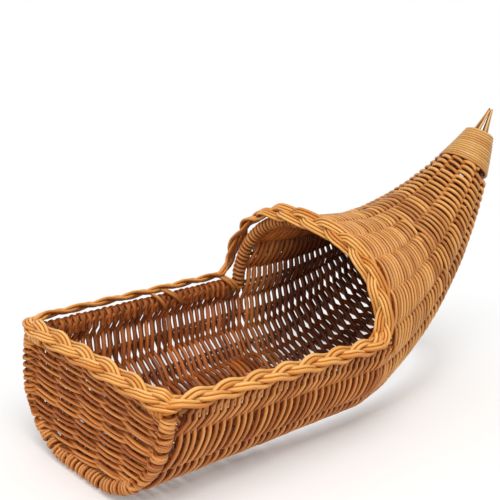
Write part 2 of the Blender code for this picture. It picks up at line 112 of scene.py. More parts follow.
def willow(name, pale, deep, rough, wound=True, streak=0.42, across=1.9, inner=None, deepest=None,
           grooves=0.75, mottled=1.0, bare_from=None):
    """Stained willow with its lengthwise grain. A wound cane carries its own run, side and number. It has a
    painted highlight on its crest and painted shade in its grooves, and takes the inner colours behind the
    weave and on its inward faces as painted shade. The deepest colours, with where they start, are painted
    shade far inside the horn. A frame rod takes its grain from where it lies, and may be left bare above a
    height."""
    inner = inner or (deep, pale)
    material = bpy.data.materials.new(name)
    material.use_nodes = True
    shader = material.node_tree.nodes["Principled BSDF"]
    start = Socket(material.node_tree, shader.outputs[0])
    if wound:
        cane = start.node("ShaderNodeAttribute", {"attribute_name": "cane"}, out=2)
        side = start.node("ShaderNodeAttribute", {"attribute_name": "side"}, out=1)
        run = start.node("ShaderNodeAttribute", {"attribute_name": "run"}, out=2)
        apart = {"X": cane * 37.0, "Y": cane * 11.0, "Z": run * 55.0}
        shift = start.node("ShaderNodeCombineXYZ", None, apart)
        grain = side.node("ShaderNodeVectorMath", {"operation": "MULTIPLY"}, {0: side, 1: (across,) * 3})
        grain = grain.node("ShaderNodeVectorMath", {"operation": "ADD"}, {0: grain, 1: shift})
        apart = {"X": cane * 53.0, "Y": cane * 17.0, "Z": run * 14.0}
        patch = start.node("ShaderNodeCombineXYZ", None, apart)
    else:
        place = start.node("ShaderNodeTexCoord", None, None, out=3)
        grain = start.node("ShaderNodeMapping", None, {"Vector": place, "Scale": (120.0, 1100.0, 1100.0)})
        patch = start.node("ShaderNodeMapping", None, {"Vector": place, "Scale": (25.0, 120.0, 120.0)})
        cane = start.node("ShaderNodeTexNoise", None, {"Vector": patch, "Scale": 1.0, "Detail": 1.0})
    fibres = {"Vector": grain, "Scale": 1.0, "Detail": 3.0, "Roughness": 0.6}
    fine = start.node("ShaderNodeTexNoise", None, fibres)
    cloud = start.node("ShaderNodeTexNoise", None, {"Vector": patch, "Scale": 1.0, "Detail": 2.0})
    tone = 0.5 + (fine - 0.5) * (4 * streak) + ((cloud - 0.5) * 1.5 + (cane - 0.5) * 1.1) * mottled
    colour = mixed(tone, (*deep, 1.0), (*pale, 1.0))
    if wound:
        depth = start.node("ShaderNodeAttribute", {"attribute_name": "depth"}, out=2)
        inward = start.node("ShaderNodeAttribute", {"attribute_name": "inward"}, out=1)
        normal = start.node("ShaderNodeNewGeometry", None, None, out=1)
        facing = {0: inward, 1: normal}
        hidden = inward.node("ShaderNodeVectorMath", {"operation": "DOT_PRODUCT"}, facing, out=1)
        # Painted highlight: the crest that faces straight out is lifted towards a paler colour.
        outermost = {"Value": hidden, "From Min": -0.75, "From Max": -0.98}
        crest = hidden.node("ShaderNodeMapRange", None, outermost)
        lifted = [mix(share, 1.0, lift) for share, lift in zip(pale, CREST_HIGHLIGHT)]
        colour = mixed(crest * 0.45 * (tone + 0.4), colour, (*lifted, 1.0))
        # Painted shade: the sides that face the neighbouring canes darken in the grooves.
        beside = {"Value": hidden, "From Min": -0.80, "From Max": -0.15}
        groove = hidden.node("ShaderNodeMapRange", None, beside)
        sunk = [share * tint for share, tint in zip(deep, GROOVE_SHADE_TINT)]
        colour = mixed(groove * grooves, colour, (*sunk, 1.0))
        # Painted shade: behind the weave, and on faces turned inwards, the cane takes the inner colours.
        shade = mixed(tone, (*inner[0], 1.0), (*inner[1], 1.0))
        if deepest:
            # Painted shade far inside the horn: darker further in and lower down.
            place = start.node("ShaderNodeTexCoord", None, None, out=3)
            along = start.node("ShaderNodeSeparateXYZ", None, {"Vector": place})
            above = start.node("ShaderNodeSeparateXYZ", None, {"Vector": place}, out=2)
            way_in = along - above * DEEP_SHADE_LEAN
            reach = {"Value": way_in, "From Min": deepest[2], "From Max": deepest[2] + DEEP_SHADE_RAMP}
            far_in = start.node("ShaderNodeMapRange", None, reach)
            shade = mixed(far_in, shade, mixed(tone, (*deepest[0], 1.0), (*deepest[1], 1.0)))
        colour = mixed(depth.sum("MAXIMUM", depth, hidden * 1.4), colour, shade)
        colour = mixed(depth * -1.0, colour, mixed(tone, BARE_DEEP, BARE_PALE))
    if bare_from:
        height = start.node("ShaderNodeSeparateXYZ", None, {"Vector": place}, out=2)
        edge = {"Value": height, "From Min": bare_from, "From Max": bare_from + 0.002}
        bare = height.node("ShaderNodeMapRange", None, edge)
        colour = mixed(bare, colour, mixed(tone, BARE_DEEP, BARE_PALE))
    rise = start.node("ShaderNodeBump", None, {"Strength": 0.6, "Distance": 0.0002, "Height": fine})
    gloss = rough + (0.5 - fine) * 0.5
    for socket, value in (("Base Color", colour), ("Roughness", gloss), ("Normal", rise)):
        material.node_tree.links.new(value.out, shader.inputs[socket])
    shader.inputs["Specular IOR Level"].default_value = 0.25
    return material


def dress(names, material):
    """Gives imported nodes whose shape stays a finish."""
    for name in names:
        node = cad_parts[name]
        for place in node.material_slots:
            place.material = material


# The stakes' stain, darkened with painted shade.
STAKE_STAIN_AND_SHADE = ((0.30, 0.115, 0.036), (0.12, 0.038, 0.012))
stakes = [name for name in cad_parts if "_stake_" in name]
dress(stakes, willow("stake_willow_grained", *STAKE_STAIN_AND_SHADE, 0.5, wound=False, bare_from=0.178))


# Trough wall: rows of two willow rods each, twisted between the stakes, so that one passes outside a
# stake while the other passes inside it. The rows run crosswise, and both ends of each rod are turned
# over the rims, a little further on than they leave the wall.

TROUGH_LENGTH, END_WIDTH, MOUTH_WIDTH = 0.1894, 0.150, 0.1613
END_ROD_HEIGHT, MOUTH_ROD_HEIGHT = 0.0713, 0.0651
FOOT_LEAN, BASE_PRESS, LOW_POWER = 0.0070, 0.0012, 2.47
HORN_REACH, HORN_CLIMB = 0.2098, 0.1176
START_PULL, END_PULL = 0.0996, 0.0723
START_SLOPE, END_SLOPE = math.radians(-1.0), math.radians(59.3)
ARCH_RISE, ARCH_LEAN, ARCH_POWER = 0.0740, math.radians(-2.4), 2.3
NECK_RADIUS, SETTLE, SETTLE_BEND, SETTLE_SHARE = 0.0120, 0.0075, 0.004, 0.45
TAPER_POWER, TURN_SHARE, ROUND_SHARE, BINDING_SHARE = 0.98, 0.35, 0.667, 0.846
GAP = 0.0003
FRAME_ROD, WRAP_CANE = 0.0044, 0.0028
TUBE_RADIUS = FRAME_ROD / 2 + GAP + WRAP_CANE
TROUGH_START = 2 * TUBE_RADIUS + GAP
LINES, FAR_LINE = 18, 9
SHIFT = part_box("rim_rod_near")[0][0] - TROUGH_START


def ease(value):
    value = min(max(value, 0.0), 1.0)
    return value * value * (3 - 2 * value)


def spine(share):
    """The horn's middle line at a share of its length, and its slope there."""
    first = Vector((TROUGH_LENGTH, 0, MOUTH_ROD_HEIGHT))
    last = first + Vector((HORN_REACH, 0, HORN_CLIMB))
    out = first + START_PULL * Vector((math.cos(START_SLOPE), 0, math.sin(START_SLOPE)))
    back = last - END_PULL * Vector((math.cos(END_SLOPE), 0, math.sin(END_SLOPE)))
    left = 1 - share
    place = left**3 * first + 3 * left**2 * share * out + 3 * left * share**2 * back + share**3 * last
    heading = left**2 * (out - first) + 2 * left * share * (back - out) + share**2 * (last - back)
    return place, math.atan2(heading.z, heading.x)


def outline(angle, half_width, depth, rise, low_power, high_power):
    """A point of a rounded section: a U below the rims, an arch above them."""
    across, up = math.cos(angle), math.sin(angle)
    power, height = (low_power, -depth) if up < 0 else (high_power, rise)
    return half_width * math.copysign(abs(across) ** (2 / power), across), height * abs(up) ** (2 / power)


def bend(height):
    return (height + math.hypot(height, SETTLE_BEND)) / 2


def settled(lift, share):
    """The underside stays on the floor for a while before it climbs."""
    return max(0.0, bend(lift - SETTLE * (1 - ease(share / SETTLE_SHARE))) - bend(-SETTLE))


def power_at(share, power):
    return 2 + (power - 2) * max(0.0, 1 - share / ROUND_SHARE)


def horn_skin(share, angle, inset=0.0):
    centre, slope = spine(share)
    left = (1 - min(share, 1)) ** TAPER_POWER
    half_width = mix(NECK_RADIUS, MOUTH_WIDTH / 2, left) - inset
    rise = mix(NECK_RADIUS, ARCH_RISE, left) - inset
    depth = centre.z - settled(centre.z - mix(NECK_RADIUS, MOUTH_ROD_HEIGHT, left), share)
    depth += BASE_PRESS * (1 - ease(share / SETTLE_SHARE)) - inset
    powers = power_at(share, LOW_POWER), power_at(share, ARCH_POWER)
    across, up = outline(angle, half_width, depth, rise, *powers)
    tilt = mix(ARCH_LEAN, slope, min(1, share / TURN_SHARE))
    return Vector((centre.x - up * math.sin(tilt), across, max(centre.z + up * math.cos(tilt), inset)))


def horn_point(share, angle, inset):
    """A point of the horn, inset from its skin along the skin's own facing."""
    skin = horn_skin(share, angle)
    step = 0.004
    along = horn_skin(share + step, angle) - horn_skin(share - step, angle)
    crosswise = horn_skin(share, angle + step) - horn_skin(share, angle - step)
    inwards = along.cross(crosswise).normalized()
    place = skin + inwards * inset
    place.z = max(place.z, inset)
    return place


def panel_point(angle, inset, back):
    """A point of the U that the end panel and the trough's first row follow."""
    reach = END_ROD_HEIGHT + BASE_PRESS
    across, up = outline(angle, END_WIDTH / 2 - inset, reach - inset, 0, LOW_POWER, LOW_POWER)
    height = max(END_ROD_HEIGHT + up, inset)
    return Vector((back - FOOT_LEAN * (1 - height / END_ROD_HEIGHT), across, height))


def even_angles(first, last, count, steps=600):
    """Angles from first to last, evenly spaced along the mouth's outline."""
    angles = [mix(first, last, i / steps) for i in range(steps + 1)]
    points = [horn_skin(0, angle) for angle in angles]
    runs = [0.0]
    for here, there in zip(points, points[1:]):
        runs.append(runs[-1] + (there - here).length)
    chosen, i = [], 0
    for k in range(count + 1):
        wanted = runs[-1] * k / count
        while i < steps - 1 and runs[i + 1] < wanted:
            i += 1
        part = (wanted - runs[i]) / (runs[i + 1] - runs[i])
        chosen.append(mix(angles[i], angles[i + 1], part))
    return chosen


FINE = 12
MOUTH_ANGLES = even_angles(-math.pi, 0.0, FAR_LINE * FINE)[:-1]
MOUTH_ANGLES += even_angles(0.0, math.pi, (LINES - FAR_LINE) * FINE)


def line_angle(line, share):
    """The angle of a place between the stakes' lines: line 0 is the near rim, 9 the far one."""
    turns, line = divmod(line, LINES)
    i, part = divmod(line * FINE, 1)
    at_mouth = mix(MOUTH_ANGLES[int(i)], MOUTH_ANGLES[int(i) + 1], part)
    at_neck = -math.pi / 2 + 2 * math.pi * (line - FAR_LINE / 2) / LINES
    return mix(at_mouth, at_neck, ease(share)) + 2 * math.pi * turns


def share_at(x, low=0.0, high=0.4):
    """The share of the horn's length at which its rims reach x."""
    for _ in range(40):
        middle = (low + high) / 2
        low, high = (middle, high) if spine(middle)[0].x < x else (low, middle)
    return low


def wall_point(reach, line, inset):
    """A point of the whole wall. The reach is -1 at the end panel, 0 at the mouth and 1 at the neck."""
    if reach >= 0:
        return horn_point(reach, line_angle(line, reach), inset)
    angle = line_angle(line, 0.0)
    return mix(panel_point(angle, inset, TROUGH_START), horn_skin(0.0, angle, inset), 1 + reach)


def rods_tree():
    """Turns chains of points into round rods. Each point carries its rod's thickness."""
    tree = bpy.data.node_groups.new("willow_rods", "GeometryNodeTree")
    face = tree.interface
    face.new_socket("Geometry", in_out="INPUT", socket_type="NodeSocketGeometry")
    for name, kind in (("Sides", "Int"), ("Waver", "Float"), ("Seed", "Float"), ("Willow", "Material")):
        face.new_socket(name, in_out="INPUT", socket_type=f"NodeSocket{kind}")
    face.new_socket("Geometry", in_out="OUTPUT", socket_type="NodeSocketGeometry")

    def add(kind, settings=None, values=None):
        node = tree.nodes.new(kind)
        for name, value in (settings or {}).items():
            setattr(node, name, value)
        for name, value in (values or {}).items():
            if isinstance(value, bpy.types.NodeSocket):
                tree.links.new(value, node.inputs[name])
            else:
                node.inputs[name].default_value = value
        return node

    given = add("NodeGroupInput")
    place = add("GeometryNodeInputPosition")
    swell = add(
        "ShaderNodeTexNoise",
        {"noise_dimensions": "4D"},
        {"Vector": place.outputs[0], "W": given.outputs["Seed"], "Scale": 90.0, "Detail": 1.0},
    )
    middle = {0: swell.outputs["Color"], 1: (0.5,) * 3}
    centred = add("ShaderNodeVectorMath", {"operation": "SUBTRACT"}, middle)
    moved = add(
        "ShaderNodeVectorMath",
        {"operation": "SCALE"},
        {0: centred.outputs[0], "Scale": given.outputs["Waver"]},
    )
    wavy = add("GeometryNodeSetPosition", None, {"Geometry": given.outputs[0], "Offset": moved.outputs[0]})
    lines = add("GeometryNodeMeshToCurve", None, {"Mesh": wavy.outputs[0]})
    run = add("GeometryNodeSplineParameter")
    lines = add(
        "GeometryNodeStoreNamedAttribute",
        {"data_type": "FLOAT", "domain": "POINT"},
        {"Geometry": lines.outputs[0], "Name": "run", "Value": run.outputs["Length"]},
    )
    circle = {"Resolution": given.outputs["Sides"], "Radius": 1.0}
    ring = add("GeometryNodeCurvePrimitiveCircle", None, circle)
    round_place = add("GeometryNodeInputPosition")
    ring = add(
        "GeometryNodeStoreNamedAttribute",
        {"data_type": "FLOAT_VECTOR", "domain": "POINT"},
        {"Geometry": ring.outputs[0], "Name": "side", "Value": round_place.outputs[0]},
    )
    thickness = add("GeometryNodeInputNamedAttribute", {"data_type": "FLOAT"}, {"Name": "thickness"})
    round_rod = {"Curve": lines.outputs[0], "Profile Curve": ring.outputs[0], "Fill Caps": True}
    tubes = add("GeometryNodeCurveToMesh", None, {**round_rod, "Scale": thickness.outputs[0]})
    smooth = add("GeometryNodeSetShadeSmooth", None, {"Geometry": tubes.outputs[0]})
    whole = add("GeometryNodeRealizeInstances", None, {"Geometry": smooth.outputs[0]})
    stain = {"Geometry": whole.outputs[0], "Material": given.outputs["Willow"]}
    stained = add("GeometryNodeSetMaterial", None, stain)
    done = add("NodeGroupOutput")
    tree.links.new(stained.outputs[0], done.inputs[0])
    return tree


RODS = rods_tree()


def woven(name, rods, material, stands_for, sides=8, waver=0.0):
    """Makes one piece of the basket from its rods. A rod is a list of (place, radius, depth, heart). Its
    depth is 0 outside the weave, 1 behind it and -1 where it is cut bare, and the heart is the place that
    its hidden side faces. The depth and the hidden side set how much painted shade the rod's colour takes."""
    chance = random.Random(name)
    points, edges, thickness, cane, depth, inward = [], [], [], [], [], []
    for rod in rods:
        number = chance.random()
        first = len(points)
        for place, radius, inside, heart in rod:
            points.append((place[0] + SHIFT, place[1], place[2]))
            thickness.append(radius)
            cane.append(number)
            depth.append(inside)
            inward.extend((heart - place).normalized())
        edges += [(i, i + 1) for i in range(first, len(points) - 1)]
    chain = bpy.data.meshes.new(name + "_chain")
    chain.from_pydata(points, edges, [])
    for label, values in (("thickness", thickness), ("cane", cane), ("depth", depth)):
        chain.attributes.new(label, "FLOAT", "POINT").data.foreach_set("value", values)
    chain.attributes.new("inward", "FLOAT_VECTOR", "POINT").data.foreach_set("vector", inward)
    carrier = bpy.data.objects.new(name + "_chain", chain)
    bpy.context.scene.collection.objects.link(carrier)
    maker = carrier.modifiers.new("rods", "NODES")
    maker.node_group = RODS
    wanted = {"Sides": sides, "Waver": waver, "Seed": 3.0, "Willow": material}
    for item in RODS.interface.items_tree:
        if item.item_type == "SOCKET" and item.in_out == "INPUT" and item.name in wanted:
            maker[item.identifier] = wanted[item.name]
    graph = bpy.context.evaluated_depsgraph_get()
    mesh = bpy.data.meshes.new_from_object(carrier.evaluated_get(graph), depsgraph=graph)
    bpy.data.objects.remove(carrier)
    mesh.name = name
    piece = bpy.data.objects.new(name, mesh)
    bpy.context.scene.collection.objects.link(piece)
    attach(piece, "root")
    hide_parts(*stands_for)


WEAVER = 0.0029
OUTER_INSET, INNER_INSET = 0.0016, 0.0075
TWIST, SKEW = 0.0013, -0.0005
TROUGH_ROWS = 34
RIM_LEAN, FAR_LEAN, LOW_LEAN = 0.0095, 0.0030, 0.0085
STEPS_PER_GAP = 10
HOOK_LINE, HOOK_TAIL = 0.22, 0.0045
TROUGH_HEART, TROUGH_BUNCH = 0.052, 0.0016
THINNEST, THICKEST = 0.92, 1.07
ARCH_CLEARANCE = 1.6 * TUBE_RADIUS
WEAVE_COLOURS = ((0.61, 0.225, 0.042), (0.31, 0.082, 0.010))
# Painted shade for the rods behind the weave and for their inward faces.
INNER_SHADE_COLOURS = ((0.16, 0.038, 0.008), (0.50, 0.145, 0.032))
woven_willow = willow("woven_willow_grained", *WEAVE_COLOURS, 0.42, inner=INNER_SHADE_COLOURS, mottled=0.7)
HOOP_X = TROUGH_LENGTH + (TUBE_RADIUS + GAP + 0.0065 / 2) * math.sin(math.radians(60))
HOOP_SHARE = share_at(HOOP_X)
TROUGH_END = share_at(HOOP_X + TUBE_RADIUS)


def flattened(wave, power):
    return math.copysign(abs(wave) ** power, wave)


def pair_place(phase, skew=SKEW):
    """Where a rod lies in its pair: how far in from the skin, and how far along from the pair's middle.
    It passes outside a stake at even phases, and inside it at odd ones."""
    inside = (1 - flattened(math.cos(math.pi * phase), 0.7)) / 2
    along = skew * (inside - 0.5) - TWIST * flattened(math.sin(math.pi * phase), 1.15)
    return mix(OUTER_INSET, INNER_INSET, inside**1.5), along


def depth_at(inset):
    """How much a rod is shaded by those outside it, from 0 to 1."""
    return ease((inset - 0.0024) / 0.0042)


def row_lean(line, share):
    """How far along the trough a row stands from its own place, at a line of the wall."""
    near_rim = max(0.0, 1 - 2 * line) * RIM_LEAN * mix(1.0, 0.55, share)
    far_rim = max(0.0, 1 - 2 * (FAR_LINE - line)) * FAR_LEAN
    middle = FAR_LINE / 2
    low = ease((middle - abs(line - middle) - 0.5) / (middle - 1)) * LOW_LEAN
    return near_rim + far_rim + low * math.sin(math.pi * share) ** 0.7


def rim_line(side, x):
    """The middle of a rim's rod at x. The near side is -1 and the far one 1."""
    first = Vector((TROUGH_START, side * (END_WIDTH / 2 - TUBE_RADIUS), END_ROD_HEIGHT))
    last = Vector((TROUGH_LENGTH, side * (MOUTH_WIDTH / 2 - TUBE_RADIUS), MOUTH_ROD_HEIGHT))
    return mix(first, last, (x - first.x) / (last.x - first.x))


def hook(side, x, top_x, outside, girth):
    """The end of a rod that is turned over a rim: one from outside ends inside, and the other way round."""
    radius = FRAME_ROD / 2 + girth + GAP / 2
    turns = [mix(-30, 205, i / 9) if outside else mix(205, -15, i / 9) for i in range(10)]
    points = []
    for i, turn in enumerate(turns):
        centre = rim_line(side, mix(x, top_x, min(1.0, i / 4)))
        angle = math.radians(turn)
        place = centre + radius * Vector((0, side * math.cos(angle), math.sin(angle)))
        # The part of the turn that lies inside the rim takes painted shade.
        points.append((place, girth, 0.8 * ease((turn - 70) / 90), Vector((place.x, 0, TROUGH_HEART))))
    place, girth, depth, heart = points[-1]
    tail = place - Vector((0, side * 0.0004, HOOK_TAIL))
    cut = depth if outside else -0.9
    return points + [(mix(place, tail, 0.5), girth, depth, heart), (tail, girth * 0.8, cut, heart)]


def trough_rows():
    chance = random.Random(11)
    length = TROUGH_LENGTH - TROUGH_START
    first, last = 0.0022, length + 0.0095
    pitch = (last - first) / (TROUGH_ROWS - 1)
    steps = round((FAR_LINE - 2 * HOOK_LINE) * STEPS_PER_GAP)
    rods = []
    for row in range(TROUGH_ROWS):
        share = row / (TROUGH_ROWS - 1)
        base = mix(first, last, share) + chance.uniform(-0.0003, 0.0003)
        for strand in (0, 1):
            girth = WEAVER / 2 * chance.uniform(THINNEST, THICKEST)
            rod = []
            for step in range(steps + 1):
                line = mix(HOOK_LINE, FAR_LINE - HOOK_LINE, step / steps)
                inset, sway = pair_place(line + strand)
                bunch = TROUGH_BUNCH * noise.noise(Vector((row * 0.55, line * 0.7, 3.7)))
                along = base + row_lean(line, share) + sway + bunch
                reach = along / length - 1 if along < length else share_at(TROUGH_START + along)
                place = wall_point(min(reach, TROUGH_END), line, inset)
                # Rods further in from the skin take painted shade.
                shaded = depth_at(inset)
                full = girth * (1 + 0.06 * shaded) * mix(0.98, 1.03, line / FAR_LINE)
                rod.append((place, full, shaded, Vector((place.x, 0, TROUGH_HEART))))
            for side, line in ((-1, 0), (1, FAR_LINE)):
                outside = (line + strand) % 2 == 0
                top_x = TROUGH_START + base + row_lean(line, share) + (0 if outside else pitch / 2)
                x = rod[0 if side < 0 else -1][0].x
                end = hook(side, x, top_x, outside, girth * (1.0 if outside else 0.75))
                if top_x > HOOP_X - ARCH_CLEARANCE:
                    # By the arch there is no room for a turn: the rod ends beside the rim
                    end = end[:3]
                rod = end[::-1] + rod if side < 0 else rod + end
            rods.append(rod)
    return rods


TURNED_OVER = ["trough_weave", "rim_wrap_near", "rim_wrap_far"]
woven("woven_trough", trough_rows(), woven_willow, TURNED_OVER, sides=8, waver=0.0005)


# Horn wall: the same twisted pairs, wound round and round from the arch to the bound neck. The rounds
# stand close together over the top and open towards the floor and the tip. Its inside is given painted
# shade, darkest deep in the horn.

ROUNDS, COARSENING = 37, 1.6
THIN_SHARE, NEAR_SKEW, FAR_SKEW = 0.42, -0.0010, 0.0012
HORN_WEAVER, TIP_WEAVER, FULL_PITCH, LEAST_PITCH = 0.0029, 0.0036, 0.37, 0.25
HORN_BUNCH, INNER_GIRTH = 0.0009, 0.14
SHORTEST_ROD, LONGEST_ROD = 150, 260
WALL_START = share_at(HOOP_X + TUBE_RADIUS + 2 * GAP)
WALL_END = BINDING_SHARE - 0.004


def horn_share(turn):
    """The share of the horn's length that the winding has reached after some turns."""
    return mix(WALL_START, WALL_END, (COARSENING ** (turn / ROUNDS) - 1) / (COARSENING - 1))


def stake_crossings():
    """The places, in lines wound, at which a weaver meets a stake. One stake in three stops part way."""
    crossings = []
    for line in range(LINES * ROUNDS + 1):
        if line % 3 or horn_share(line / LINES) < THIN_SHARE:
            crossings.append(line)
    return crossings


def horn_rounds():
    chance = random.Random(5)
    crossings = stake_crossings()
    rods = []
    for strand in (0, 1):
        rod, swell, longest = [], 1.0, 200
        for index, (line, after) in enumerate(zip(crossings, crossings[1:])):
            steps = 8 if after - line == 1 else 11
            for step in range(steps):
                wound = mix(line, after, step / steps)
                turn = 2 * math.pi * wound / LINES
                skew = mix(NEAR_SKEW, FAR_SKEW, ease(0.5 - 0.9 * math.cos(turn)))
                inset, sway = pair_place(index + step / steps + strand, skew)
                around = Vector((math.cos(turn) * 1.3, math.sin(turn) * 1.3, wound / LINES * 0.6))
                bunch = noise.noise(around)
                share = horn_share(wound / LINES)
                angle = line_angle(wound % LINES, share)
                run = (horn_skin(share + 0.005, angle) - horn_skin(share - 0.005, angle)).length / 0.01
                pitch = run * (horn_share(wound / LINES + 1) - share)
                full = mix(HORN_WEAVER, TIP_WEAVER, min(1, 2 * share)) / 2
                girth = swell * min(FULL_PITCH * pitch, max(full, LEAST_PITCH * pitch))
                share += (sway + HORN_BUNCH * bunch) / run
                share = min(max(share, WALL_START), WALL_END)
                place = wall_point(share, wound % LINES, inset)
                # Rods further in from the skin take painted shade.
                shaded = depth_at(inset)
                rod.append((place, girth * (1 + INNER_GIRTH * shaded), shaded, spine(share)[0]))
            if (index + strand) % 2 == 1 and len(rod) > longest:
                # A new rod starts inside a stake, where the last one ends
                rods.append(rod)
                rod, swell = rod[-2:], chance.uniform(0.92, 1.06)
                longest = chance.uniform(SHORTEST_ROD, LONGEST_ROD)
        rods.append(rod)
    return rods


HORN_COLOURS = ((0.66, 0.285, 0.055), (0.29, 0.080, 0.009))
# Painted shade inside the horn: inner colours by its mouth, and darker ones far inside.
HORN_MOUTH_SHADE = ((0.50, 0.125, 0.022), (0.95, 0.36, 0.085))
HORN_DEEP_SHADE = ((0.060, 0.012, 0.004), (0.18, 0.045, 0.013), HOOP_X + SHIFT - 0.041)
horn_willow = willow("horn_willow_grained", *HORN_COLOURS, 0.42, inner=HORN_MOUTH_SHADE, deepest=HORN_DEEP_SHADE,
                     grooves=0.9, mottled=0.6)
woven("woven_horn", horn_rounds(), horn_willow, ["horn_weave"], sides=7, waver=0.0006)


# Rims: a rod along each side of the opening, bent from the end panel to the arch. The ends of the rows
# cover it, but for a few millimetres at the near corner.

frame_willow = willow("frame_willow_grained", (0.42, 0.18, 0.055), (0.22, 0.08, 0.022), 0.5, wound=False)
dress(["rim_rod_near", "rim_rod_far", "arch_hoop", "end_frame"], frame_willow)


# Arch: a rod bent to a hoop over the horn's mouth, with a cane wound closely over it. The horn's first
# round lies against its back.

def coil(points, radius, pitch, cane, start=0.0, seed=1, points_per_turn=14, hand=1, slack=0.0003):
    """A cane wound round a line of points. The line's run sets how many turns it has."""
    runs = [0.0]
    for here, there in zip(points, points[1:]):
        runs.append(runs[-1] + (there - here).length)
    chance = random.Random(seed)
    turns = runs[-1] / pitch
    rod, i = [], 0
    upward = Vector((0, 0, 1)) if abs((points[1] - points[0]).normalized().z) < 0.8 else Vector((1, 0, 0))
    swell = shift = 0.0
    for step in range(int(turns * points_per_turn) + 1):
        if step % points_per_turn == 0:
            swell, shift = chance.uniform(-0.00015, 0.0002), chance.uniform(-slack, slack)
        wanted = runs[-1] * step / (turns * points_per_turn)
        wanted += shift * math.sin(math.pi * (step % points_per_turn) / points_per_turn)
        wanted = min(max(wanted, 0.0), runs[-1])
        while i < len(points) - 2 and runs[i + 1] < wanted:
            i += 1
        part = (wanted - runs[i]) / (runs[i + 1] - runs[i])
        centre = mix(points[i], points[i + 1], part)
        heading = (points[i + 1] - points[i]).normalized()
        across = heading.cross(upward).normalized()
        upward = across.cross(heading).normalized()
        turn = start + hand * 2 * math.pi * step / points_per_turn
        out = across * math.cos(turn) + upward * math.sin(turn)
        rod.append((centre + out * (radius + swell), cane / 2, 0.0, centre))
    return rod


WRAP_RADIUS = (FRAME_ROD + WRAP_CANE) / 2 + GAP / 2
ARCH_PITCH, FOOT_DROP = 0.0036, Vector((0, 0, 0.004))
arch_angles = [line_angle(mix(FAR_LINE, LINES, i / 90) - 1e-6, 0.0) for i in range(91)]
hoop = [horn_skin(HOOP_SHARE, angle, TUBE_RADIUS) for angle in arch_angles]
hoop = [hoop[0] - FOOT_DROP, *hoop, hoop[-1] - FOOT_DROP]
arch_turns = coil(hoop, WRAP_RADIUS, ARCH_PITCH, WRAP_CANE, seed=4)
woven("arch_turns", [arch_turns], woven_willow, ["arch_wrap"], waver=0.0004)


# End panel: 5 uprights between the legs of a rod bent to a U. Twisted pairs run across them and round
# the legs, and rise a little towards the near side. Short turns of cane close the foot of the U.

PANEL_ROWS, PANEL_WEAVER = 16, 0.0025
PANEL_STAKES = 5
PANEL_RISE, PANEL_BUNCH, PANEL_DEPTH = 0.0050, 0.0018, 0.0019
LOWEST_ROW, TOP_CLEARANCE, LEG_CLEARANCE = 0.0105, 0.0036, 0.0008
FOOT_PITCH, FOOT_HEIGHT = 0.0036, 0.0185


def panel_half_width(height):
    """How wide the U is between its legs, at a height."""
    reach = END_ROD_HEIGHT + BASE_PRESS - TUBE_RADIUS
    drop = min(max((END_ROD_HEIGHT - height) / reach, 0.0), 0.999)
    return (END_WIDTH / 2 - TUBE_RADIUS) * (1 - drop**LOW_POWER) ** (1 / LOW_POWER)


def panel_back(height):
    return TUBE_RADIUS - FOOT_LEAN * (1 - height / END_ROD_HEIGHT)


def leg_loop(side, height, girth, in_front, rise):
    """The end of a panel's rod, taken round a leg from where it arrives. The far leg's side is 1."""
    points = []
    for i in range(13):
        turn = math.radians(mix(70, -150 if in_front else -260, i / 12))
        up = height + rise * i / 12
        centre = Vector((panel_back(up), side * panel_half_width(up), up))
        radius = FRAME_ROD / 2 + girth + GAP
        front = -math.sin(turn) if in_front else math.sin(turn)
        points.append((centre + radius * Vector((front, side * math.cos(turn), 0)), girth, 0.0, centre))
    return points


def panel_rows():
    chance = random.Random(23)
    gap = 2 * (END_WIDTH / 2 - TUBE_RADIUS) / (PANEL_STAKES + 1)
    rods = []
    for row in range(PANEL_ROWS):
        share = row / (PANEL_ROWS - 1)
        base = mix(LOWEST_ROW, END_ROD_HEIGHT - TOP_CLEARANCE, share) + chance.uniform(-0.0006, 0.0006)
        slip = chance.uniform(-0.12, 0.12)
        slope = PANEL_RISE * mix(1.2, 0.15, share**2)
        for strand in (0, 1):
            girth = PANEL_WEAVER / 2 * chance.uniform(0.85, 1.14)
            rod = []
            for step in range(73):
                part = mix(-1, 1, step / 72)
                y = part * (panel_half_width(base - slope * part) - LEG_CLEARANCE)
                phase = y / gap + 3 + strand + slip * (1 - part * part)
                out = flattened(math.cos(math.pi * phase), 0.8)
                sway = 0.0009 * flattened(math.sin(math.pi * phase), 1.2) + 0.0005 * out
                bunch = PANEL_BUNCH * noise.noise(Vector((row * 0.7, y * 30, 8.1)))
                height = base - slope * part + sway + bunch
                place = Vector((panel_back(height) - out * PANEL_DEPTH, y, height))
                # The passes behind the uprights take painted shade.
                rod.append((place, girth, 0.6 * (1 - out) / 2, place + Vector((1, 0, 0))))
            for side in (-1, 1):
                place = rod[0 if side < 0 else -1][0]
                in_front = place.x < panel_back(place.z)
                loop = leg_loop(side, place.z, girth, in_front, chance.uniform(0.0008, 0.0022))
                rod = loop[::-1] + rod if side < 0 else rod + loop
            rods.append(rod)
    return rods


PANEL_COLOURS = ((0.55, 0.175, 0.018), (0.28, 0.064, 0.006))
panel_willow = willow("panel_willow_grained", *PANEL_COLOURS, 0.42, inner=INNER_SHADE_COLOURS)
woven("woven_end_panel", panel_rows(), panel_willow, ["end_weave"], waver=0.0008)

LEG_TOP = 0.02
frame_angles = [mix(-math.pi + LEG_TOP, -LEG_TOP, i / 120) for i in range(121)]
frame_line = [panel_point(angle, TUBE_RADIUS, TUBE_RADIUS) for angle in frame_angles]
frame_line = [point for point in frame_line if point.z < FOOT_HEIGHT]
panel_turns = coil(frame_line, WRAP_RADIUS, FOOT_PITCH, WRAP_CANE, seed=9, slack=0.0011)
woven("end_frame_turns", [panel_turns], woven_willow, ["end_frame_wrap"], waver=0.0008)


# Corner bindings: where the top of the U, the bar across it and a rim meet, a few slack turns of the
# plait's paler cane hold them together.

